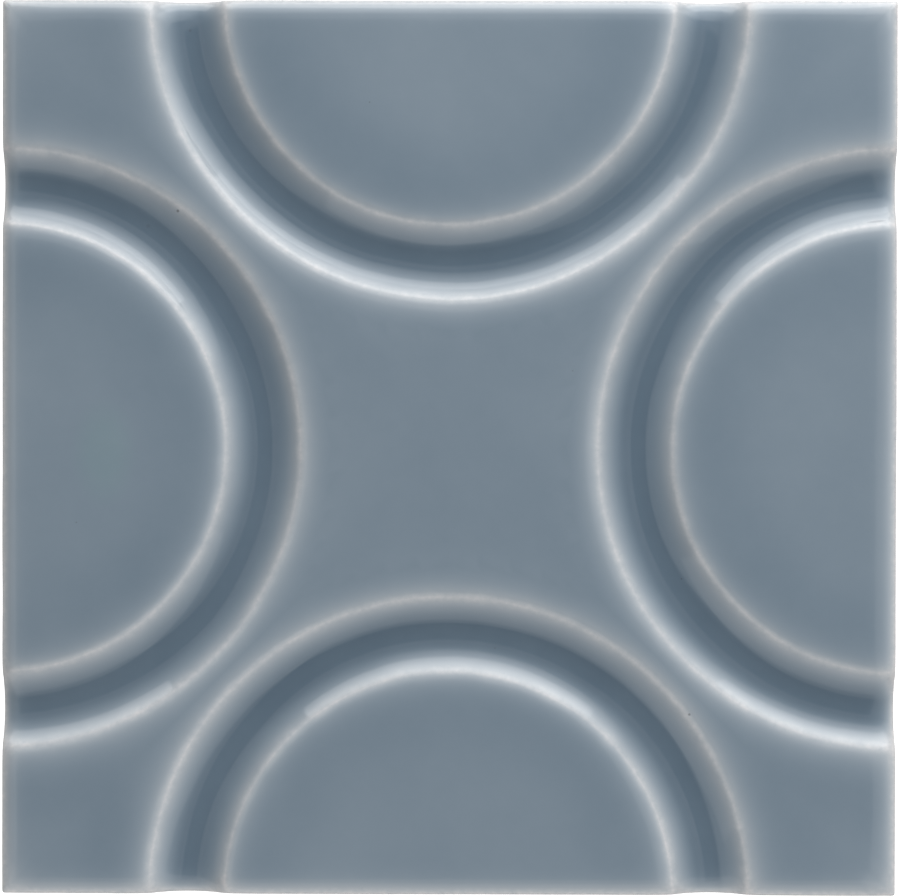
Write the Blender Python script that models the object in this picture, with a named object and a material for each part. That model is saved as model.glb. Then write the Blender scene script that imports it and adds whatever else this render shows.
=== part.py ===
# Square glazed relief tile, pressed in one piece.
# Metres, +Z up out of the glazed face. The origin is the middle of the flat back.

import math

import bmesh
import bpy
from mathutils import Matrix, Vector

SIDE = 0.148                # face, edge to edge
THICKNESS = 0.0095          # back to face
EDGE_RADIUS = 0.0010        # outer edge: tight round from the upright side, as far as EDGE_TURN
EDGE_TURN = math.radians(45)
CUSHION_RADIUS = 0.0037     # softer bend from there onto the face
EDGE_STEPS = 2
CUSHION_STEPS = 4
CORNER_RADIUS = 0.0004      # upright corners, seen from above
CORNER_SPREAD = 0.6         # how much rounder they get with each step inward over the bend
CORNER_STEPS = 3
BACK_CHAMFER = 0.0006

GROOVE_RADIUS = 0.04325                 # centreline of each half ring, about the middle of a side
COVE_RADIUS = 0.0079                    # hollow of the groove
RIM_RADIUS = 0.00375                    # rounded rim, from the hollow's steepest part out onto the face
WALL_SLOPE = math.radians(43)           # where the hollow turns into the rim
COVE_STEPS = 5
RIM_STEPS = 4
TURN_STEPS = 64                         # segments in a whole turn of the groove
LID_HEIGHT = 0.002                      # how far a cutter stands above the face

GLAZE_COLOUR = (0.181, 0.231, 0.283, 1)
GLAZE_ROUGHNESS = 0.12


def clear_scene():
    for thing in list(bpy.data.objects):
        bpy.data.objects.remove(thing, do_unlink=True)


def glaze_material():
    material = bpy.data.materials.new("blue_grey_glaze")
    material.use_nodes = True
    shader = material.node_tree.nodes["Principled BSDF"]
    shader.inputs["Base Color"].default_value = GLAZE_COLOUR
    shader.inputs["Roughness"].default_value = GLAZE_ROUGHNESS
    shader.inputs["Metallic"].default_value = 0
    return material


def linked_object(name, mesh):
    thing = bpy.data.objects.new(name, mesh)
    bpy.context.scene.collection.objects.link(thing)
    return thing


def edge_section():
    # The outer edge's section as (distance inward from the side, height under the face),
    # from the face over the soft bend and the tight round to the upright side.
    edge_width = EDGE_RADIUS * (1 - math.sin(EDGE_TURN))
    cushion_drop = CUSHION_RADIUS * (1 - math.cos(EDGE_TURN))
    points = []
    for step in range(CUSHION_STEPS + 1):
        slope = EDGE_TURN * step / CUSHION_STEPS
        points.append((
            edge_width + CUSHION_RADIUS * (math.sin(EDGE_TURN) - math.sin(slope)),
            CUSHION_RADIUS * (1 - math.cos(slope)),
        ))
    for step in range(1, EDGE_STEPS + 1):
        slope = EDGE_TURN + (math.pi / 2 - EDGE_TURN) * step / EDGE_STEPS
        points.append((
            EDGE_RADIUS * (1 - math.sin(slope)),
            cushion_drop + EDGE_RADIUS * (math.cos(EDGE_TURN) - math.cos(slope)),
        ))
    return points


def slab_ring(bm, inward, height):
    # One level of the slab: a square with rounded corners.
    radius = CORNER_RADIUS + CORNER_SPREAD * inward
    centre = SIDE / 2 - inward - radius
    ring = []
    for quarter in range(4):
        middle = Matrix.Rotation(quarter * math.pi / 2, 3, "Z") @ Vector((centre, centre, height))
        for step in range(CORNER_STEPS + 1):
            turn = (quarter + step / CORNER_STEPS) * math.pi / 2
            ring.append(bm.verts.new(middle + radius * Vector((math.cos(turn), math.sin(turn), 0))))
    return ring


def slab_mesh():
    # The tile without its grooves: levels from the chamfered back up to the face, joined by strips.
    bm = bmesh.new()
    rings = [slab_ring(bm, BACK_CHAMFER, 0), slab_ring(bm, 0, BACK_CHAMFER)]
    for inward, drop in reversed(edge_section()):
        rings.append(slab_ring(bm, inward, THICKNESS - drop))
    for lower, upper in zip(rings, rings[1:]):
        for i in range(len(lower)):
            bm.faces.new((lower[i - 1], lower[i], upper[i], upper[i - 1]))
    bm.faces.new(reversed(rings[0]))
    bm.faces.new(rings[-1])
    bmesh.ops.recalc_face_normals(bm, faces=bm.faces)
    mesh = bpy.data.meshes.new("tile")
    bm.to_mesh(mesh)
    bm.free()
    return mesh


def half_section():
    # Half of the groove's section as (distance from the centreline, height over the face),
    # from the face down the rounded rim and the hollow to the middle of the groove.
    half_width = (COVE_RADIUS + RIM_RADIUS) * math.sin(WALL_SLOPE)
    depth = (COVE_RADIUS + RIM_RADIUS) * (1 - math.cos(WALL_SLOPE))
    points = []
    for step in range(RIM_STEPS):
        slope = WALL_SLOPE * step / RIM_STEPS
        points.append((
            half_width - RIM_RADIUS * math.sin(slope),
            -RIM_RADIUS * (1 - math.cos(slope)),
        ))
    for step in range(COVE_STEPS + 1):
        slope = WALL_SLOPE * (1 - step / COVE_STEPS)
        points.append((
            COVE_RADIUS * math.sin(slope),
            -depth + COVE_RADIUS * (1 - math.cos(slope)),
        ))
    return points


def cutter_section():
    # The whole section as a closed outline. The first rim facet carries on upward past the face,
    # so that the cutter crosses the face instead of touching it.
    half = half_section()
    (x0, z0), (x1, z1) = half[0], half[1]
    past = (2 * x0 - x1, 2 * z0 - z1)
    right = [past] + half
    left = [(-x, z) for x, z in reversed(right[:-1])]
    lid = [(left[-1][0], LID_HEIGHT), (past[0], LID_HEIGHT)]
    return right + left + lid


def groove_cutter_mesh():
    # The section, swept a whole turn about the middle of a side.
    bm = bmesh.new()
    outline = [bm.verts.new((GROOVE_RADIUS + x, 0, z)) for x, z in cutter_section()]
    edges = [bm.edges.new((outline[i - 1], outline[i])) for i in range(len(outline))]
    half_step = Matrix.Rotation(math.pi / TURN_STEPS, 3, "Z")
    bmesh.ops.rotate(bm, cent=(0, 0, 0), matrix=half_step, verts=outline)
    bmesh.ops.spin(
        bm, geom=outline + edges, cent=(0, 0, 0), axis=(0, 0, 1),
        angle=2 * math.pi, steps=TURN_STEPS, use_merge=True,
    )
    bmesh.ops.recalc_face_normals(bm, faces=bm.faces)
    mesh = bpy.data.meshes.new("groove_cutter")
    bm.to_mesh(mesh)
    bm.free()
    return mesh


def tile():
    mesh = slab_mesh()
    mesh.materials.append(glaze_material())
    body = linked_object("tile", mesh)
    cutter_mesh = groove_cutter_mesh()
    for quarter in range(4):
        turn = quarter * math.pi / 2
        cutter = linked_object(f"groove_cutter_{quarter + 1}", cutter_mesh)
        cutter.location = Matrix.Rotation(turn, 3, "Z") @ Vector((0, -SIDE / 2, THICKNESS))
        cutter.rotation_euler.z = turn
        cutter.hide_render = True
        cutter.display_type = "WIRE"
        cut = body.modifiers.new(f"groove_{quarter + 1}", "BOOLEAN")
        cut.operation = "DIFFERENCE"
        cut.solver = "EXACT"
        cut.object = cutter
    mesh.shade_smooth()
    mesh.set_sharp_from_angle(angle=math.radians(40))
    return body


clear_scene()
tile()
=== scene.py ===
import math

import bpy
import numpy as np
from mathutils import Euler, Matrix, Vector


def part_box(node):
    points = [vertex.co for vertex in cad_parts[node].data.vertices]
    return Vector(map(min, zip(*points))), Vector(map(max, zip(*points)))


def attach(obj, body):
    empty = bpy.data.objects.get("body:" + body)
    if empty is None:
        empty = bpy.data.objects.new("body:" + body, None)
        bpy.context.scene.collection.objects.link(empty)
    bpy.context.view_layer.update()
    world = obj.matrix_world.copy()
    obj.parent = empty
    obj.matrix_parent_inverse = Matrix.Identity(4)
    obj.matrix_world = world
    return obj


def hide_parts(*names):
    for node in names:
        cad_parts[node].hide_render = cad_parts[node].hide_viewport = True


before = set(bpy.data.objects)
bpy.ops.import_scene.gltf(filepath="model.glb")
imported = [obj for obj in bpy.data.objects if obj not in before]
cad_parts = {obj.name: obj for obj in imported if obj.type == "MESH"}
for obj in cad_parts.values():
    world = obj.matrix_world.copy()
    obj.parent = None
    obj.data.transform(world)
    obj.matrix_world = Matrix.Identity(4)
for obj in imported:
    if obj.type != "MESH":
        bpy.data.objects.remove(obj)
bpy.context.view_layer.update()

tileLow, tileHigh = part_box("tile")
side = tileHigh[0] - tileLow[0]
half = side / 2
faceZ = tileHigh[2]
millimetre = 0.001
print("frame loaded, tile", round(side / millimetre, 1), "mm square")


# The tile's shape

shape = dict(
    grooveRadius=0.04325,                 # centreline of each half ring, about the middle of a side
    coveRadius=0.0079,                    # hollow of the groove
    wallSlope=math.radians(43),           # steepest part, just below the rim
    rimRadius=0.0037,                     # glaze rolling over the rim
    settleSlope=math.radians(9),          # past the rim the face is still falling this much
    settleLength=0.0015,
    edgeRadius=0.0010,                    # glaze rolling over the outer edge, from upright to edgeTurn
    edgeTurn=math.radians(45),
    cushionRadius=0.0037,                 # softer bend from there onto the face
    edgeLean=0.10,                        # the bend is tighter at the upper edge, wider at the lower one
    edgeSettleSlope=math.radians(8),
    edgeSettleLength=0.0010,
    lowerSettleLength=0.0004,             # along the lower side the bend ends more sharply
    mouthSpread=0.55,                     # how much wider the bend is in the upper side's groove mouths
    cornerReach=0.0015,                   # upright corners, seen from above: a squared-off round
    cornerPower=8.0,
    cornerBlend=0.00026,                  # how the face's contours round a corner, at the outline
    cornerSpread=0.6,                     # and how much more, further in
    faceWave=0.000018,                    # slow swell of the fired glaze
    rimWander=0.00009,                    # how far a rim strays from its circle
    outlineWander=0.00006,
    outlineStrip=0.0015,                  # width of the strip that strays with the outline
)
shape["wallEnd"] = shape["coveRadius"] * math.sin(shape["wallSlope"])
shape["rimEnd"] = shape["wallEnd"] + shape["rimRadius"] * (
    math.sin(shape["wallSlope"]) - math.sin(shape["settleSlope"]))
shape["edgeEnd"] = shape["edgeRadius"] * (1 - math.sin(shape["edgeTurn"]))
shape["cushionEnd"] = shape["edgeEnd"] + shape["cushionRadius"] * (
    math.sin(shape["edgeTurn"]) - math.sin(shape["edgeSettleSlope"]))

# how finely the face and its edge are divided
divisions = dict(
    rays=100,
    rayWarp=1.3,                          # rays lie closer together towards the outline
    discRadius=0.0300,                    # inside this a half disc is plain
    discRings=16,
    discWarp=1.6,                         # rings lie closer together towards the disc's middle
    gapRings=5,                           # between the plain disc and the groove's rings
    coveRings=13,
    rimRings=9,
    besideRim=(0.0003, 0.0007, 0.0012, 0.0018),      # rings on the face, out from the rim's end
    starRings=(0.014, 0.032, 0.055, 0.085, 0.125, 0.18,
               0.26, 0.36, 0.50, 0.66, 0.83, 1),     # shares of the way from there to the diagonal
    edgeRows=9,
    cornerColumns=9,
    cornerWarp=1.5,                       # columns lie closer together towards the corner's middle
    weld=1e-7,                            # points closer than this are one
)

back = dict(
    chamfer=0.0006,
    glazeStop=0.0030,                     # height where the glaze ends on the sides
    glazeStopWander=0.0008,
    rollHeight=0.0006,                    # thick roll that the glaze ends in
    biscuitInset=0.00016,                 # bare clay lies this far behind the glaze
    sideHollow=0.30,                      # share of that inset which the glazed side has above its roll
    border=0.0030,                        # plain margin between the chamfer and the back's grid
    channelCount=9,
    channelWidth=0.0065,
    channelDepth=0.00055,
    channelFlank=0.0012,
    channelMargin=0.0090,
    channelParts=8,                       # lengthways
    flankSteps=(1, 0.75, 0.5, 0.25, 0),
)

# rows of points down a side: share of the way to the glaze's roll,
# then the roll and the chamfer as pairs, the share of its height and the share of its inset
sideSteps = (0.12, 0.28, 0.46, 0.64, 0.80, 0.92)
rollSteps = ((1.0, 0.30), (0.60, 0.0), (0.30, 0.06), (0.10, 0.35), (0.0, 0.85))
biscuitSteps = (0.10, 0.25, 0.50, 0.75, 1.0)
footSteps = ((0.45, 0.18), (0.15, 0.50), (0.0, 1.0), (0.0, 1.35))
glazedRows = len(sideSteps) + len(rollSteps)
sideRows = glazedRows + len(biscuitSteps) + len(footSteps)


def waveField(seed, longest, shortest, count=40):
    # a smooth random field over the tile: plane waves in all directions, about -1 to 1
    draw = np.random.default_rng(seed)
    angle = draw.uniform(0, 2 * np.pi, count)
    length = np.exp(draw.uniform(np.log(shortest), np.log(longest), count))
    phase = draw.uniform(0, 2 * np.pi, count)
    weight = length / longest
    weight = weight / np.sqrt((weight ** 2).sum() * 2)

    def field(x, y):
        total = np.zeros(np.shape(x))
        for turn, span, start, share in zip(angle, length, phase, weight):
            total += share * np.sin((x * np.cos(turn) + y * np.sin(turn)) * 2 * np.pi / span + start)
        return np.clip(total, -1, 1)
    return field


# each field's seed, longest and shortest wave
fields = dict(
    swell=(3, 0.060, 0.009),              # the face's slow swell
    wanderX=(5, 0.045, 0.004),            # how far rims stray across, and the outline inward
    wanderY=(6, 0.045, 0.004),            # how far rims stray up
    stopLine=(8, 0.040, 0.003),           # height where the glaze stops
    glazeCoat=(11, 0.050, 0.006),         # how thick the glaze lies
    thinSpots=(14, 0.009, 0.0016),        # and how much that varies along a rim
)
swell = waveField(*fields["swell"])
wanderX = waveField(*fields["wanderX"])
wanderY = waveField(*fields["wanderY"])
stopLine = waveField(*fields["stopLine"])
glazeCoat = waveField(*fields["glazeCoat"])
thinSpots = waveField(*fields["thinSpots"])


def grooveDistance(x, y):
    # distance out from each groove's centreline, negative on its half disc's side
    strayedX = x + shape["rimWander"] * wanderX(x, y)
    strayedY = y + shape["rimWander"] * wanderY(x, y)
    middles = ((0, -half), (half, 0), (0, half), (-half, 0))
    return [np.hypot(strayedX - cx, strayedY - cy) - shape["grooveRadius"] for cx, cy in middles]


def grooveDepth(away):
    # the groove's section: hollow, rim, and a face that settles level
    cove, rim = shape["coveRadius"], shape["rimRadius"]
    steep, settle = shape["wallSlope"], shape["settleSlope"]
    tail = shape["settleLength"] * math.tan(settle)
    wallEnd, rimEnd = shape["wallEnd"], shape["rimEnd"]
    rimDrop = rim * (math.cos(settle) - math.cos(steep))
    onCove = np.sqrt(cove ** 2 - np.clip(away, 0, wallEnd) ** 2) - cove * math.cos(steep)
    lean = math.sin(steep) - (np.clip(away, wallEnd, rimEnd) - wallEnd) / rim
    onRim = rim * (math.cos(settle) - np.sqrt(1 - lean ** 2))
    onFace = tail * np.exp(-np.clip(away - rimEnd, 0, None) / shape["settleLength"])
    depth = np.where(away < wallEnd, onCove + rimDrop + tail, onRim + tail)
    return np.where(away > rimEnd, onFace, depth)


def outlineDistance(x, y):
    # distance inward from the outline, with contours that round the corners
    fromX = np.maximum(half - np.abs(x), 0)
    fromY = np.maximum(half - np.abs(y), 0)
    inward = np.minimum(np.minimum(fromX, fromY), shape["cushionRadius"])
    blend = shape["cornerBlend"] + shape["cornerSpread"] * inward
    lean = 1 + shape["edgeLean"] * np.clip(y / half, -1, 1)
    return np.maximum((fromX + fromY - np.hypot(fromX - fromY, blend)) / 2, 0) * lean


def nearSide(reached):
    # 0 to 1 as a point comes past the diagonals onto one side's quarter of the face
    return np.clip(reached / shape["cushionRadius"], 0, 1)


def settleLength(x, y):
    # how fast the edge's bend fades into the face
    lower = nearSide(np.abs(y) - np.abs(x)) * (y < 0)
    return shape["edgeSettleLength"] + (shape["lowerSettleLength"] - shape["edgeSettleLength"]) * lower


def edgeDrop(near, length):
    # the outer edge's section: tight round, softer bend, and a face that settles level
    radius, turn = shape["edgeRadius"], shape["edgeTurn"]
    cushion, settle = shape["cushionRadius"], shape["edgeSettleSlope"]
    edgeEnd, cushionEnd = shape["edgeEnd"], shape["cushionEnd"]
    tail = length * math.tan(settle)
    cushionDrop = cushion * (math.cos(settle) - math.cos(turn))
    lean = 1 - np.clip(near, 0, edgeEnd) / radius
    onEdge = radius * (math.cos(turn) - np.sqrt(1 - lean ** 2)) + cushionDrop + tail
    lean = math.sin(turn) - (np.clip(near, edgeEnd, cushionEnd) - edgeEnd) / cushion
    onCushion = cushion * (math.cos(settle) - np.sqrt(1 - lean ** 2)) + tail
    onFace = tail * np.exp(-np.clip(near - cushionEnd, 0, None) / length)
    drop = np.where(near < edgeEnd, onEdge, onCushion)
    return np.where(near > cushionEnd, onFace, drop)


def faceHeight(x, y, near):
    sunk = sum(grooveDepth(np.abs(away)) for away in grooveDistance(x, y))
    wave = shape["faceWave"] * (swell(x, y) - 1)
    mouth = nearSide(y - np.abs(x)) * sunk / grooveDepth(np.zeros(1))
    widened = near / (1 + shape["mouthSpread"] * mouth)
    return faceZ + wave - sunk - edgeDrop(widened, settleLength(x, y))


def evenSteps(start, end, count):
    # count steps from start, without the end itself
    return np.linspace(start, end, count + 1)[:-1]


def ringRadii():
    # rings about the middle of a side: sparse on the disc, close across the groove's rims
    centre, discRadius = shape["grooveRadius"], divisions["discRadius"]
    disc = discRadius * evenSteps(0, 1, divisions["discRings"]) ** divisions["discWarp"]
    across = np.concatenate([
        evenSteps(0, shape["wallEnd"], divisions["coveRings"]),
        evenSteps(shape["wallEnd"], shape["rimEnd"], divisions["rimRings"]),
        [shape["rimEnd"]],
    ])
    settled = shape["rimEnd"] + np.array(divisions["besideRim"])
    inner = np.concatenate([centre - settled[::-1], centre - across[::-1], centre + across[1:]])
    gap = evenSteps(discRadius, inner[0], divisions["gapRings"])
    return np.concatenate([disc, gap, inner])


def wedgeRays():
    # plan position of every ring and ray in one eighth of the face, below the diagonal
    corner, bend = shape["cornerReach"], divisions["discRadius"]
    turn = np.pi / 2 * np.linspace(0, 1, divisions["rays"] + 1) ** divisions["rayWarp"]
    cos, sin = np.cos(turn), np.sin(turn)
    reach = (half - corner) / (cos + sin)

    def ring(radius):
        true = -corner * sin + np.sqrt(np.maximum(radius ** 2 - (corner * cos) ** 2, 0))
        if radius >= bend:
            return true
        full = -corner * sin + np.sqrt(bend ** 2 - (corner * cos) ** 2)
        return full * radius / bend

    rows = [ring(radius) for radius in ringRadii()]
    last = rows[-1]
    rows += [last + (reach - last) * share for share in divisions["starRings"]]
    out = np.array(rows)
    return out * cos, out * sin - (half - corner)


def cornerPoint(away, turn):
    # a point on the squared-off round of the upright corner, this far inside the outline
    power, cornerAt = shape["cornerPower"], half - shape["cornerReach"]
    sin, cos = math.sin(turn), math.cos(turn)
    reach = (shape["cornerReach"] - away) / (sin ** power + cos ** power) ** (1 / power)
    return cornerAt + reach * sin, -cornerAt - reach * cos


def tileMesh():
    # one eighth of the tile in plan: points, which row of the side each is on (0 on the face),
    # faces, and each face's material slot
    corner = shape["cornerReach"]
    rayX, rayY = wedgeRays()
    ringCount, rayCount = rayX.shape
    points, kinds, faces, slots = [], [], [], []

    def add(x, y, kind):
        points.append((x, y))
        kinds.append(kind)
        return len(points) - 1

    # face: rings by rays
    grid = np.empty(rayX.shape, int)
    for i in range(ringCount):
        for j in range(rayCount):
            grid[i, j] = grid[0, 0] if i == 0 and j > 0 else add(rayX[i, j], rayY[i, j], 0)
    for i in range(ringCount - 1):
        for j in range(rayCount - 1):
            loop = [grid[i, j], grid[i + 1, j], grid[i + 1, j + 1], grid[i, j + 1]]
            faces.append(loop if i else loop[:3])
            slots.append(0)

    # strip: from the face over the rounded edge, down the side and round the back chamfer
    edgeRows = divisions["edgeRows"]
    offsets = corner * (1 - np.sin(np.linspace(0, np.pi / 2, edgeRows + 1)))[1:]
    offsets[-1] = 0.0
    steps = np.linspace(0, 1, divisions["cornerColumns"] + 1)[1:]
    turns = np.pi / 4 * (1 - (1 - steps) ** divisions["cornerWarp"])
    previous = [grid[i, 0] for i in range(ringCount)] + [grid[-1, 0]] * len(turns)
    for row in range(edgeRows + sideRows):
        away = offsets[row] if row < edgeRows else 0.0
        kind = max(row - edgeRows + 1, 0)
        line = [add(x, -half + away, kind) for x in rayX[:, 0]]
        line += [add(*cornerPoint(away, turn), kind) for turn in turns]
        for k in range(len(line) - 1):
            loop = [previous[k], line[k], line[k + 1], previous[k + 1]]
            faces.append([v for n, v in enumerate(loop) if v not in loop[:n]])
            slots.append(0 if row < edgeRows + glazedRows else 1)
        previous = line
    return np.array(points), np.array(kinds), faces, slots


def mirroredEight(points, kinds, faces, slots):
    # the eighth and its mirror image, both turned to the four sides; shared points are welded
    allPoints, allKinds, allFaces, allSlots = [], [], [], []
    start = 0
    for quarter in range(4):
        for flip in (1, -1):
            x, y = points[:, 0] * flip, points[:, 1]
            for _ in range(quarter):
                x, y = -y, x
            allPoints.append(np.stack([x, y], 1))
            allKinds.append(kinds)
            for face in faces:
                ids = [v + start for v in face]
                allFaces.append(ids[::-1] if flip < 0 else ids)
            allSlots += slots
            start += len(points)
    xy = np.concatenate(allPoints)
    kind = np.concatenate(allKinds)
    key = np.round(np.column_stack([xy / divisions["weld"], kind])).astype(np.int64)
    _, first, where = np.unique(key, axis=0, return_index=True, return_inverse=True)
    where = where.ravel()
    welded = [[int(where[v]) for v in face] for face in allFaces]
    return xy[first], kind[first], welded, allSlots


def sideShape(x, y, topZ):
    # every row of the side wall as (height, inset, glaze thickness), first row next to the edge
    stop = back["glazeStop"] + back["glazeStopWander"] * stopLine(x, y)
    rollTop = stop + back["rollHeight"]
    inset, chamfer = back["biscuitInset"], back["chamfer"]
    rows = []
    for share in sideSteps:
        hollow = back["sideHollow"] * inset * math.sin(math.pi / 2 * share)
        rows.append((topZ + (rollTop - topZ) * share, hollow, coat["onSide"] + coat["downSide"] * share))
    for up, inward in rollSteps:
        thickness = coat["onRoll"] - coat["underRoll"] * inward
        rows.append((stop + back["rollHeight"] * up, inset * inward, thickness))
    for share in biscuitSteps:
        rows.append((stop + (chamfer - stop) * share, inset, 0))
    for up, inward in footSteps:
        rows.append((chamfer * up, inset + chamfer * inward, 0))
    return rows


def channelLayout():
    # how far the channels reach from the middle, and their spacing
    reach = half - back["channelMargin"]
    return reach, 2 * reach / back["channelCount"]


def channelDepthAt(x, y):
    # shallow straight channels that key the back to its bed
    reach, pitch = channelLayout()
    across = np.abs((y + reach) % pitch - pitch / 2)
    flank = back["channelFlank"]
    inY = np.clip((back["channelWidth"] / 2 - across) / flank, 0, 1)
    inX = np.clip((reach - np.abs(x)) / flank, 0, 1)
    level = np.minimum(inX, inY) * (np.abs(y) < reach)
    return back["channelDepth"] * level * level * (3 - 2 * level)


def backGrid():
    # grid lines along and across the channels, close on their flanks
    reach, pitch = channelLayout()
    flank, width = back["channelFlank"], back["channelWidth"]
    steps = back["flankSteps"]
    border = half - back["border"]
    linesY = [-border]
    for n in range(back["channelCount"]):
        middle = -reach + (n + 0.5) * pitch
        linesY += [middle - (width / 2 - flank * (1 - s)) for s in steps]
        linesY += [middle + (width / 2 - flank * (1 - s)) for s in steps[::-1]]
    linesY.append(border)
    ends = [reach - flank * s for s in steps]
    between = list(np.linspace(-ends[0], ends[0], back["channelParts"] + 1)[1:-1])
    linesX = [-border] + [-e for e in ends[::-1]] + between + ends + [border]
    return np.array(linesX), np.array(linesY)


def loopOrder(ids, xyz):
    angle = np.arctan2(xyz[ids, 1], xyz[ids, 0])
    return [ids[k] for k in np.argsort(angle)]


def stitchLoops(outer, inner, xyz):
    # triangles between two closed loops, walking both by angle
    def angles(loop):
        return np.unwrap(np.arctan2(xyz[loop, 1], xyz[loop, 0]))
    a, b = angles(outer), angles(inner)
    made = []
    i = j = 0
    while i < len(outer) or j < len(inner):
        nextA = a[i + 1] if i + 1 < len(outer) else a[0] + 2 * np.pi
        nextB = b[j + 1] if j + 1 < len(inner) else b[0] + 2 * np.pi
        p, q = outer[i % len(outer)], inner[j % len(inner)]
        if j >= len(inner) or (i < len(outer) and nextA <= nextB):
            made.append([p, q, outer[(i + 1) % len(outer)]])
            i += 1
        else:
            made.append([p, q, inner[(j + 1) % len(inner)]])
            j += 1
    return made


def closeBack(xyz, lastRow, faces, slots):
    # an inner grid with the keying channels, stitched to the last row of the chamfer
    linesX, linesY = backGrid()
    gridX, gridY = np.meshgrid(linesX, linesY, indexing="ij")
    gridZ = channelDepthAt(gridX, gridY)
    ids = len(xyz) + np.arange(gridX.size).reshape(gridX.shape)
    xyz = np.concatenate([xyz, np.stack([gridX.ravel(), gridY.ravel(), gridZ.ravel()], 1)])
    for i in range(gridX.shape[0] - 1):
        for j in range(gridX.shape[1] - 1):
            loop = (ids[i, j], ids[i, j + 1], ids[i + 1, j + 1], ids[i + 1, j])
            faces.append([int(v) for v in loop])
            slots.append(1)
    rim = [int(v) for v in set(ids[0, :]) | set(ids[-1, :]) | set(ids[:, 0]) | set(ids[:, -1])]
    for triangle in stitchLoops(loopOrder(lastRow, xyz), loopOrder(rim, xyz), xyz):
        faces.append(triangle)
        slots.append(1)
    return xyz


# How thick the glaze lies, as a share of a full coat

coat = dict(
    crest=0.0062,                         # where it lies thinnest, from the groove's centreline
    atCrest=0.26,
    crestWander=0.060,                    # and how much that varies along a rim
    crestWidth=0.0015,
    inGroove=1.45,                        # pooled at the bottom
    pool=0.0018,                          # half width of the pool
    onFace=0.98,
    besideRim=1.10,                       # drawn back from the rim, it stands a little thicker
    besideAt=0.012,
    besideWidth=0.008,
    atMiddle=1.03,                        # star between the four rings
    middleReach=0.032,
    recovery=(0.0015, 0.0023),            # how fast it thickens again past a rim: on the disc, outside
    atEdge=0.10,
    edgeRecovery=0.0016,
    edgePower=1.35,
    onSide=0.55,
    downSide=0.5,                         # what it gains down the side
    onRoll=1.25,
    underRoll=0.5,                        # what it loses where the roll turns in
    wander=0.03,
)


def glazeThickness(x, y, near):
    # thin where it drew off the rims and edges, pooled in the grooves
    signed = np.array(grooveDistance(x, y))
    away = np.min(np.abs(signed), axis=0)
    nearest = np.argmin(np.abs(signed), axis=0)[None]
    onDisc = np.take_along_axis(signed, nearest, 0)[0] < 0
    recovery = np.where(onDisc, *coat["recovery"])
    crest, atCrest = coat["crest"], coat["atCrest"]
    climb = np.clip((crest - away) / (crest - coat["pool"]), 0, 1)
    inside = atCrest + (coat["inGroove"] - atCrest) * climb
    beside = np.exp(-((away - coat["besideAt"]) / coat["besideWidth"]) ** 2)
    face = coat["onFace"] + (coat["besideRim"] - coat["onFace"]) * beside
    star = np.exp(-(np.hypot(x, y) / coat["middleReach"]) ** 4)
    face = face + (coat["atMiddle"] - face) * star * (away > coat["besideAt"])
    past = np.clip(away - crest, 0, None)
    outside = face - (face - atCrest) * np.exp(-past / recovery)
    thick = np.where(away < crest, inside, outside)
    onCrest = np.exp(-((away - crest) / coat["crestWidth"]) ** 2)
    thick = thick + coat["crestWander"] * thinSpots(x, y) * onCrest
    edge = np.exp(-(near / coat["edgeRecovery"]) ** coat["edgePower"])
    thick = thick + (np.minimum(thick, coat["atEdge"]) - thick) * edge
    return thick * (1 + coat["wander"] * glazeCoat(x, y))


def outwardDirection(x, y):
    # straight out at the outline, turning round the upright corners, and nothing further in
    inner = half - shape["cornerReach"]
    reachX = np.clip(np.abs(x) - inner, 0, None) * np.sign(x)
    reachY = np.clip(np.abs(y) - inner, 0, None) * np.sign(y)
    length = np.maximum(np.hypot(reachX, reachY), 1e-9)
    return reachX / length, reachY / length


def buildTile():
    xy, kind, faces, slots = mirroredEight(*tileMesh())
    x, y = xy[:, 0], xy[:, 1]
    near = outlineDistance(x, y)
    z = faceHeight(x, y, near)
    thick = glazeThickness(x, y, near)

    # the side walls go down from the face's edge, a little in from the outline
    inset = np.zeros(len(x))
    rows = sideShape(x, y, z)
    for number, (height, inward, thickness) in enumerate(rows, start=1):
        here = kind == number
        z[here] = (height + np.zeros(len(x)))[here]
        inset[here] = inward
        thick[here] = thickness * (1 + coat["wander"] * glazeCoat(x, y))[here]
    strip = np.clip(1 - near / shape["outlineStrip"], 0, 1)
    inset = inset + strip * shape["outlineWander"] * (1 - wanderX(x, y)) / 2
    outX, outY = outwardDirection(x, y)
    xyz = np.stack([x - outX * inset, y - outY * inset, z], 1)

    lastRow = [int(v) for v in np.flatnonzero(kind == len(rows))]
    xyz = closeBack(xyz, lastRow, faces, slots)
    thick = np.concatenate([thick, np.zeros(len(xyz) - len(thick))])       # no glaze on the back

    mesh = bpy.data.meshes.new("glazedTile")
    mesh.from_pydata(xyz.tolist(), [], faces)
    mesh.polygons.foreach_set("material_index", slots)
    mesh.polygons.foreach_set("use_smooth", [True] * len(faces))
    layer = mesh.attributes.new("glazeCoat", "FLOAT", "POINT")
    layer.data.foreach_set("value", thick.astype(np.float32))
    mesh.validate()
    mesh.update()
    tile = bpy.data.objects.new("glazedTile", mesh)
    bpy.context.scene.collection.objects.link(tile)
    return tile


# Finishes

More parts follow.
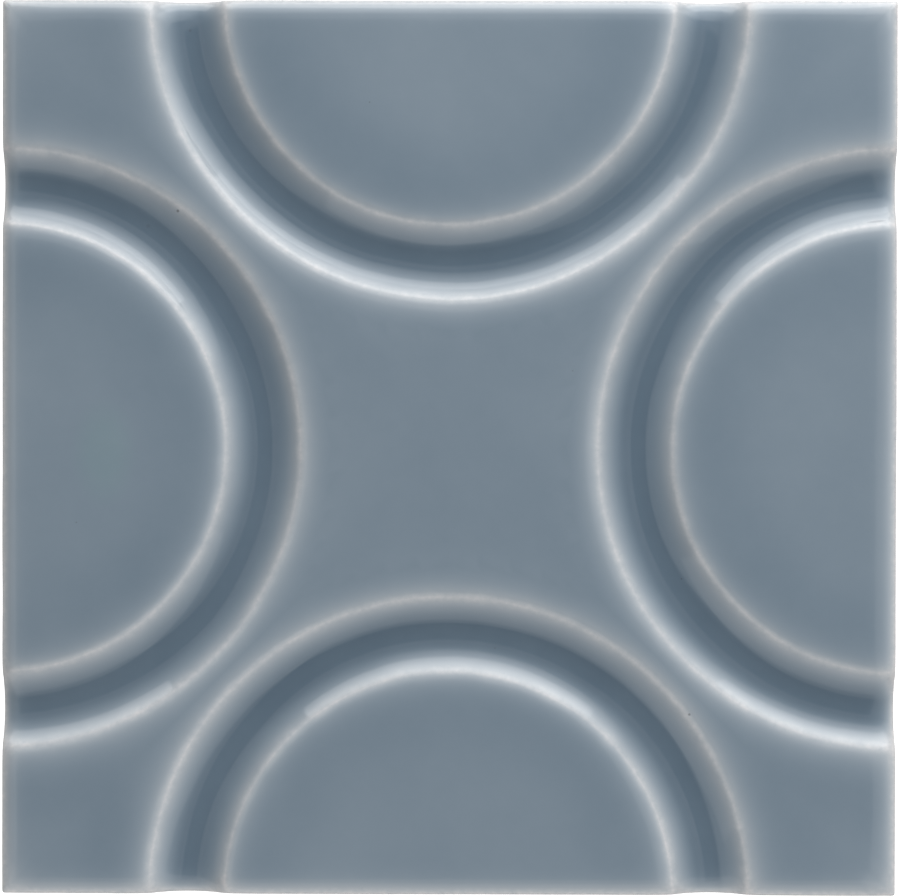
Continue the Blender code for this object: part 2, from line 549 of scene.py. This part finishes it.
glazeFinish = dict(
    clay=(0.62, 0.598, 0.592),            # fired body seen through the glaze
    tint=(0.268, 0.358, 0.438),           # what one full coat lets through
    ior=1.52,
    roughness=0.035,
    patchy=(0.8, 1.3),                    # share of that in the glossiest and the dullest patches
    patchScale=70,
    mottle=0.02,
    mottleScales=(45, 420),               # slow, and fine at half the strength
    breakUp=0.45,                         # unevenness of the thin glaze on rims and edges,
    thinCoats=(0.2, 0.6),                 # full below the first thickness, gone above the second
    breakUpScale=900,
    ripple=0.06,
    rippleDepth=0.0004,
    rippleScale=160,
    # colour of the specks, also used for the painted shade of the dark streak beside a rim
    speck=(0.05, 0.045, 0.045),
    markFade=(0.6, 1.4),                  # a mark fades out between these shares of its radius
)
# specks and pinholes in the glaze, in millimetres from the tile's middle: across, up, radius, strength
specks = (
    (-44.9, 39.1, 0.22, 0.55),
    (-50.0, 36.7, 0.30, 0.16),
    (-43.1, 69.1, 0.22, 0.30),
    (39.8, -43.9, 0.20, 0.50),
    (38.6, -21.6, 0.14, 0.40),
    (-13.2, 57.0, 0.12, 0.35),
    (-61.5, -12.4, 0.13, 0.30),
    (20.4, 12.8, 0.11, 0.30),
    (7.7, -33.2, 0.12, 0.35),
)
# painted shade: a dark streak beside a rim that stands for the gap between two reflections, and a faint
# green cloud on the left half disc
paintedReflectionGap = dict(across=70.5, up=37.55, radius=0.17, strength=0.25, stretch=8.0, turn=math.radians(7))
cloud = dict(across=-56.9, up=-0.8, radius=4.0, strength=1.0, stretch=1.7, turn=math.radians(90))
cloudTint = (0.985, 1.045, 1.0)

biscuitFinish = dict(
    light=(0.74, 0.68, 0.60),
    dark=(0.60, 0.52, 0.43),
    cloudy=0.65,                          # share of the slow cloudiness in the colour, the rest is grain
    cloudScale=38,
    grainScale=900,
    fleck=(0.24, 0.15, 0.09),
    flecked=0.7,
    fleckScale=620,
    fleckFrom=(0.66, 0.72),               # level of noise where a fleck begins, and where it is full
    roughness=(0.76, 0.90),
    relief=0.35,
    reliefDepth=0.00012,
    reliefScales=(1500, 260),             # fine, and coarse at half as much again
)


class Nodes:
    # a new material and short ways to add nodes to it
    def __init__(self, name):
        self.material = bpy.data.materials.new(name)
        self.material.use_nodes = True
        self.tree = self.material.node_tree
        self.shader = self.tree.nodes["Principled BSDF"]
        self.place = self.add("TexCoord").outputs["Object"]

    def add(self, kind, **inputs):
        node = self.tree.nodes.new("ShaderNode" + kind)
        for name, value in inputs.items():
            self.feed(node.inputs[name.replace("_", " ")], value)
        return node

    def feed(self, socket, value):
        if isinstance(value, bpy.types.NodeSocket):
            self.tree.links.new(value, socket)
        else:
            socket.default_value = value

    def finish(self, colour, roughness, bump):
        self.feed(self.shader.inputs["Base Color"], colour)
        self.feed(self.shader.inputs["Roughness"], roughness)
        self.feed(self.shader.inputs["Normal"], bump.outputs[0])
        return self.material

    def maths(self, operation, a, b=0.0, c=0.0):
        node = self.tree.nodes.new("ShaderNodeMath")
        node.operation = operation
        self.feed(node.inputs[0], a)
        self.feed(node.inputs[1], b)
        self.feed(node.inputs[2], c)
        return node.outputs[0]

    def noise(self, scale, detail=2.0, rough=0.5):
        node = self.add("TexNoise", Scale=scale, Detail=detail, Roughness=rough)
        self.feed(node.inputs["Vector"], self.place)
        return node.outputs["Fac"]

    def spread(self, value, low, high, fromLow=0.3, fromHigh=0.7):
        node = self.add("MapRange")
        node.inputs["From Min"].default_value = fromLow
        node.inputs["From Max"].default_value = fromHigh
        node.inputs["To Min"].default_value = low
        node.inputs["To Max"].default_value = high
        self.feed(node.inputs["Value"], value)
        return node.outputs["Result"]

    def mix(self, share, a, b, blend="MIX"):
        node = self.tree.nodes.new("ShaderNodeMix")
        node.data_type = "RGBA"
        node.blend_type = blend
        self.feed(node.inputs["Factor"], share)
        self.feed(node.inputs[6], a)
        self.feed(node.inputs[7], b)
        return node.outputs[2]


def opaque(colour):
    return (*colour, 1.0)


def markShare(n, plan, across, up, radius, strength, stretch=1.0, turn=0.0):
    # how strongly a mark shows round its middle; a stretched one is drawn out along its turn
    middle = (across * millimetre, up * millimetre, 0)
    around = n.add("Mapping", Location=middle, Rotation=(0, 0, turn), Scale=(stretch, 1, 1))
    around.vector_type = "TEXTURE"
    n.feed(around.inputs["Vector"], plan)
    apart = n.tree.nodes.new("ShaderNodeVectorMath")
    apart.operation = "LENGTH"
    n.feed(apart.inputs[0], around.outputs["Vector"])
    full, gone = (radius * millimetre * share for share in glazeFinish["markFade"])
    return n.spread(apart.outputs["Value"], strength, 0, full, gone)


def markedGlaze(n, colour):
    # marks lie at a place in plan, however deep the face is sunk there
    plan = n.tree.nodes.new("ShaderNodeVectorMath")
    plan.operation = "MULTIPLY"
    plan.inputs[1].default_value = (1, 1, 0)
    n.feed(plan.inputs[0], n.place)
    flat = plan.outputs[0]
    colour = n.mix(markShare(n, flat, **cloud), colour, opaque(cloudTint), "MULTIPLY")
    dark = opaque(glazeFinish["speck"])
    for speck in specks:
        colour = n.mix(markShare(n, flat, *speck), colour, dark)
    # the last mark is painted shade: a dark streak for the gap between two reflections beside a rim
    return n.mix(markShare(n, flat, **paintedReflectionGap), colour, dark)


def glazeMaterial():
    # glass over clay: colour is the clay times the coat's tint, raised to how thick it lies
    look = glazeFinish
    n = Nodes("blueGreyGlaze")
    attribute = n.tree.nodes.new("ShaderNodeAttribute")
    attribute.attribute_name = "glazeCoat"
    share, mottle = attribute.outputs["Fac"], look["mottle"]
    slowScale, fineScale = look["mottleScales"]
    slow = n.spread(n.noise(slowScale, 3), 1 - mottle, 1 + mottle)
    fine = n.spread(n.noise(fineScale, 3, 0.6), 1 - 0.5 * mottle, 1 + 0.5 * mottle)
    thickness = n.maths("MULTIPLY", n.maths("MULTIPLY", share, slow), fine)
    thin = n.spread(share, look["breakUp"], 0, *look["thinCoats"])
    uneven = n.maths("SUBTRACT", n.noise(look["breakUpScale"], 3, 0.6), 0.5)
    thickness = n.maths("MULTIPLY_ADD", thin, uneven, thickness)
    through = n.add("Gamma", Color=opaque(look["tint"]), Gamma=thickness)
    colour = n.mix(1.0, through.outputs[0], opaque(look["clay"]), "MULTIPLY")
    colour = markedGlaze(n, colour)
    glossy, dull = (look["roughness"] * patch for patch in look["patchy"])
    roughness = n.spread(n.noise(look["patchScale"], 3), glossy, dull)
    height = n.noise(look["rippleScale"], 2, 0.45)
    bump = n.add("Bump", Strength=look["ripple"], Distance=look["rippleDepth"], Height=height)
    n.shader.inputs["IOR"].default_value = look["ior"]
    return n.finish(colour, roughness, bump)


def biscuitMaterial():
    # bare fired clay: cloudy, grainy, with dark flecks
    look = biscuitFinish
    n = Nodes("biscuitClay")
    slow = n.maths("MULTIPLY", n.spread(n.noise(look["cloudScale"], 4, 0.6), 0, 1), look["cloudy"])
    grain = n.spread(n.noise(look["grainScale"], 3, 0.7), 0, 1)
    blend = n.maths("ADD", slow, n.maths("MULTIPLY", grain, 1 - look["cloudy"]))
    colour = n.mix(blend, opaque(look["light"]), opaque(look["dark"]))
    flecks = n.spread(n.noise(look["fleckScale"], 2, 0.4), 0, 1, *look["fleckFrom"])
    colour = n.mix(n.maths("MULTIPLY", flecks, look["flecked"]), colour, opaque(look["fleck"]))
    roughness = n.spread(grain, *look["roughness"], 0, 1)
    fineScale, coarseScale = look["reliefScales"]
    height = n.maths("MULTIPLY_ADD", n.noise(coarseScale), 1.5, n.noise(fineScale, 3, 0.7))
    bump = n.add("Bump", Strength=look["relief"], Distance=look["reliefDepth"], Height=height)
    return n.finish(colour, roughness, bump)


tile = buildTile()
tile.data.materials.append(glazeMaterial())
tile.data.materials.append(biscuitMaterial())
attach(tile, "root")
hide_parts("tile")
print("tile modelled,", len(tile.data.polygons), "faces")


# Studio: pale floor, soft panels standing round the tile, camera straight above

studio = dict(
    floorColour=(0.45, 0.45, 0.45),
    floorRoughness=0.7,
    floorGlow=1.0,                        # cut-out white where the camera looks past the tile
    floorSize=3.0,
    floorGap=0.0002,
    around=0.81,                          # light from all round
    darkWest=(-0.86, -0.50),              # none left of the first, all of it right of the second
    overheadFrom=0.79,                    # the camera and its arm hide the light above this height,
    overheadAcross=(-0.40, 0.20),         # between these, left to right,
    overheadNorth=0.20,                   # and as far up as this
    overheadHides=0.55,
    edgeSoftness=0.01,
    backdrop=0.85,
)
# each panel: middle and size of its plane, what it faces, brightness at its foot and its top,
# and how much it fades towards its sides
panels = dict(
    windowFoot=dict(middle=(0.200, 0.200, 0.0325), size=(0.40, 0.065), faces=(0.200, 0.0, 0.0325),
                    foot=0.2, top=0.8, fade=0.1),
    window=dict(middle=(0.130, 0.200, 0.2000), size=(0.52, 0.270), faces=(0.130, 0.0, 0.2000),
                foot=2.4, top=0.8, fade=0.95),
    farWindow=dict(middle=(0.0, 1.2, 0.45), size=(2.4, 0.90), faces=(0.0, 0.0, 0.45),
                   foot=2.8, top=1.5, fade=0.2),
    card=dict(middle=(0.045, -0.146, 0.105), size=(0.41, 0.21), faces=(0.045, 0.2, 0.105),
              foot=0.5, top=0.5, fade=0.1),
)


def lightMaths(tree, operation, a, b):
    node = tree.nodes.new("ShaderNodeMath")
    node.operation = operation
    for socket, value in zip(node.inputs, (a, b)):
        if isinstance(value, bpy.types.NodeSocket):
            tree.links.new(value, socket)
        else:
            socket.default_value = value
    return node.outputs[0]


def addPanel(name, middle, size, faces, foot, top, fade):
    light = bpy.data.lights.new(name, "AREA")
    light.shape = "RECTANGLE"
    light.size, light.size_y = size
    light.energy = math.pi * size[0] * size[1]      # a strength of 1 then shines as bright as white
    light.use_nodes = True
    tree = light.node_tree
    place = tree.nodes.new("ShaderNodeNewGeometry")
    split = tree.nodes.new("ShaderNodeSeparateXYZ")
    tree.links.new(place.outputs["Parametric"], split.inputs[0])
    upward = lightMaths(tree, "MULTIPLY", split.outputs["Y"], top - foot)
    upward = lightMaths(tree, "ADD", upward, foot)
    aside = lightMaths(tree, "MULTIPLY", lightMaths(tree, "SUBTRACT", split.outputs["X"], 0.5), 2.0)
    aside = lightMaths(tree, "MULTIPLY", lightMaths(tree, "MULTIPLY", aside, aside), -fade)
    aside = lightMaths(tree, "ADD", aside, 1.0)
    strength = lightMaths(tree, "MULTIPLY", upward, aside)
    tree.links.new(strength, tree.nodes["Emission"].inputs["Strength"])
    panel = bpy.data.objects.new(name, light)
    panel.location = middle
    towards = Vector(faces) - Vector(middle)
    panel.rotation_euler = towards.to_track_quat("-Z", "Y").to_euler()
    panel.visible_camera = False
    bpy.context.scene.collection.objects.link(panel)


def addFloor():
    reach = studio["floorSize"] / 2
    corners = [(-reach, -reach, 0), (reach, -reach, 0), (reach, reach, 0), (-reach, reach, 0)]
    mesh = bpy.data.meshes.new("floor")
    mesh.from_pydata(corners, [], [(0, 1, 2, 3)])
    floor = bpy.data.objects.new("floor", mesh)
    floor.location.z = -studio["floorGap"]
    bpy.context.scene.collection.objects.link(floor)
    n = Nodes("paleFloor")
    n.shader.inputs["Base Color"].default_value = opaque(studio["floorColour"])
    n.shader.inputs["Roughness"].default_value = studio["floorRoughness"]
    n.shader.inputs["Emission Color"].default_value = (1, 1, 1, 1)
    seen = n.add("LightPath").outputs["Is Camera Ray"]
    n.feed(n.shader.inputs["Emission Strength"], n.maths("MULTIPLY", seen, studio["floorGlow"]))
    mesh.materials.append(n.material)


def addWorld():
    # lights the tile from all round but the left, with a dark shape overhead;
    # the camera itself sees a plain pale backdrop
    world = bpy.data.worlds.new("studio")
    world.use_nodes = True
    bpy.context.scene.world = world
    tree = world.node_tree
    place = tree.nodes.new("ShaderNodeTexCoord")
    split = tree.nodes.new("ShaderNodeSeparateXYZ")
    tree.links.new(place.outputs["Generated"], split.inputs[0])

    def ramp(axis, low, high, start, end):
        node = tree.nodes.new("ShaderNodeMapRange")
        node.inputs["From Min"].default_value = low
        node.inputs["From Max"].default_value = high
        node.inputs["To Min"].default_value = start
        node.inputs["To Max"].default_value = end
        tree.links.new(split.outputs[axis], node.inputs["Value"])
        return node.outputs["Result"]

    def rise(axis, at, full=1):
        return ramp(axis, at - studio["edgeSoftness"], at + studio["edgeSoftness"], 0, full)

    def fall(axis, at):
        return ramp(axis, at - studio["edgeSoftness"], at + studio["edgeSoftness"], 1, 0)

    west, east = studio["overheadAcross"]
    overhead = lightMaths(tree, "MULTIPLY", fall("X", east), rise("X", west))
    overhead = lightMaths(tree, "MULTIPLY", overhead, fall("Y", studio["overheadNorth"]))
    above = rise("Z", studio["overheadFrom"], studio["overheadHides"])
    overhead = lightMaths(tree, "MULTIPLY", overhead, above)
    clear = lightMaths(tree, "SUBTRACT", 1.0, overhead)
    level = lightMaths(tree, "MULTIPLY", ramp("X", *studio["darkWest"], 0, studio["around"]), clear)
    plain = tree.nodes.new("ShaderNodeBackground")
    plain.inputs["Strength"].default_value = studio["backdrop"]
    path = tree.nodes.new("ShaderNodeLightPath")
    mix = tree.nodes.new("ShaderNodeMixShader")
    background = tree.nodes["Background"]
    for shader in (background, plain):
        shader.inputs["Color"].default_value = (1, 1, 1, 1)
    tree.links.new(level, background.inputs["Strength"])
    tree.links.new(path.outputs["Is Camera Ray"], mix.inputs[0])
    tree.links.new(background.outputs[0], mix.inputs[1])
    tree.links.new(plain.outputs[0], mix.inputs[2])
    tree.links.new(mix.outputs[0], tree.nodes["World Output"].inputs["Surface"])


for panelName, values in panels.items():
    addPanel(panelName, **values)
addFloor()
addWorld()
print("studio set up")


cameraSetup = dict(
    location=(0.0048, 0.0060, 0.580),
    tilt=(-0.599, 0.465, 0.130),          # degrees about X, Y and Z
    lens=138.35,
    sensor=36,
    clipStart=0.01,
)


def addCamera():
    data = bpy.data.cameras.new("camera")
    data.lens = cameraSetup["lens"]
    data.sensor_width = cameraSetup["sensor"]
    data.clip_start = cameraSetup["clipStart"]
    camera = bpy.data.objects.new("camera", data)
    camera.location = cameraSetup["location"]
    camera.rotation_euler = Euler([math.radians(angle) for angle in cameraSetup["tilt"]])
    bpy.context.scene.collection.objects.link(camera)
    bpy.context.scene.camera = camera


addCamera()
bpy.context.scene.view_settings.view_transform = "Standard"
print("camera placed")
